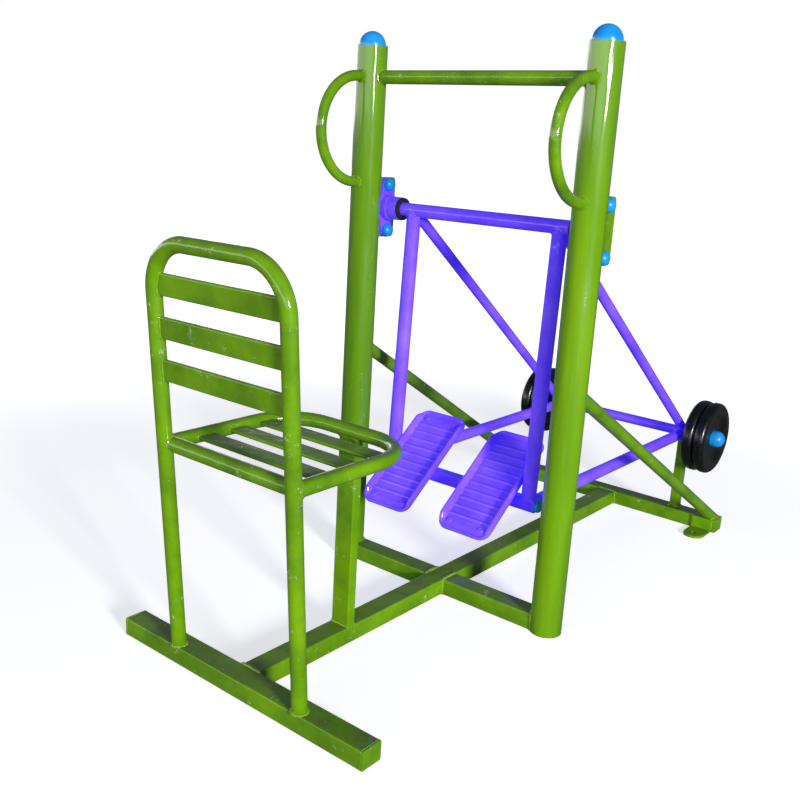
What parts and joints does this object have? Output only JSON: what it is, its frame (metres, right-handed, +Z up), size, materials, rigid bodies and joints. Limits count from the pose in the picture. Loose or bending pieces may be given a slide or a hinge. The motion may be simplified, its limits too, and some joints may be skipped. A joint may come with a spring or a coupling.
{
  "type": "outdoor leg press",
  "caption": "Outdoor seated leg press: slatted seat and posts on a welded base, and a swinging frame with footplates at the feet and weight discs in front.",
  "frame": {"origin": "centre of the bounding box's bottom face, on the ground", "axes": "+X is the seated user's right, +Y runs from the seat to the weights, +Z is up"},
  "size_m": [0.732, 1.8262, 1.36],
  "materials": {
    "green_paint": "gloss powder coat, yellow green",
    "purple_paint": "gloss powder coat, violet blue",
    "blue_plastic": "gloss, sky blue",
    "black_iron": "black paint, low sheen",
    "black_rubber": "matt",
    "zinc_steel": "zinc plated"
  },
  "bodies": {
    "stand": {"rear_crossbar": "green_paint", "spine": "green_paint", "left_cross_arm": "green_paint", "right_cross_arm": "green_paint", "front_crossbar": "green_paint", "rear_end_plates": "green_paint", "front_end_plates": "green_paint", "left_anchor_foot": "green_paint", "right_anchor_foot": "green_paint", "left_post": "green_paint", "right_post": "green_paint", "post_caps": "blue_plastic", "top_bar": "green_paint", "left_handle": "green_paint", "right_handle": "green_paint", "left_brace": "green_paint", "right_brace": "green_paint", "left_stop_post": "green_paint", "right_stop_post": "green_paint", "stop_pads": "black_rubber", "back_frame": "green_paint", "back_slats": "green_paint", "seat_ring": "green_paint", "seat_rear_tube": "green_paint", "seat_slats": "green_paint", "seat_support": "green_paint", "left_bracket": "green_paint", "right_bracket": "green_paint", "left_housing": "purple_paint", "right_housing": "purple_paint", "bearings": "zinc_steel", "shaft_seals": "black_rubber", "flange_bolts": "zinc_steel", "flange_nuts": "zinc_steel", "bolt_covers": "blue_plastic"},
    "swing": {"pivot_tube": "purple_paint", "stub_shafts": "zinc_steel", "left_hanger": "purple_paint", "right_hanger": "purple_paint", "left_diagonal": "purple_paint", "right_diagonal": "purple_paint", "left_arm": "purple_paint", "right_arm": "purple_paint", "axle_tube": "purple_paint", "foot_beam": "purple_paint", "beam_caps": "blue_plastic", "left_footplate": "purple_paint", "right_footplate": "purple_paint", "left_carrier": "purple_paint", "right_carrier": "purple_paint", "plate_screws": "zinc_steel", "plate_nuts": "zinc_steel", "inner_weights": "black_iron", "outer_weights": "black_iron", "weight_studs": "zinc_steel", "weight_washers": "zinc_steel", "weight_nuts": "zinc_steel", "nut_covers": "blue_plastic"}
  },
  "joints": [
    {"name": "swing_hinge", "type": "hinge", "parent": "stand", "child": "swing", "pos_m": [0, -0.07386, 0.941], "axis": [1, 0, 0], "range_deg": [0, 40]}
  ]
}
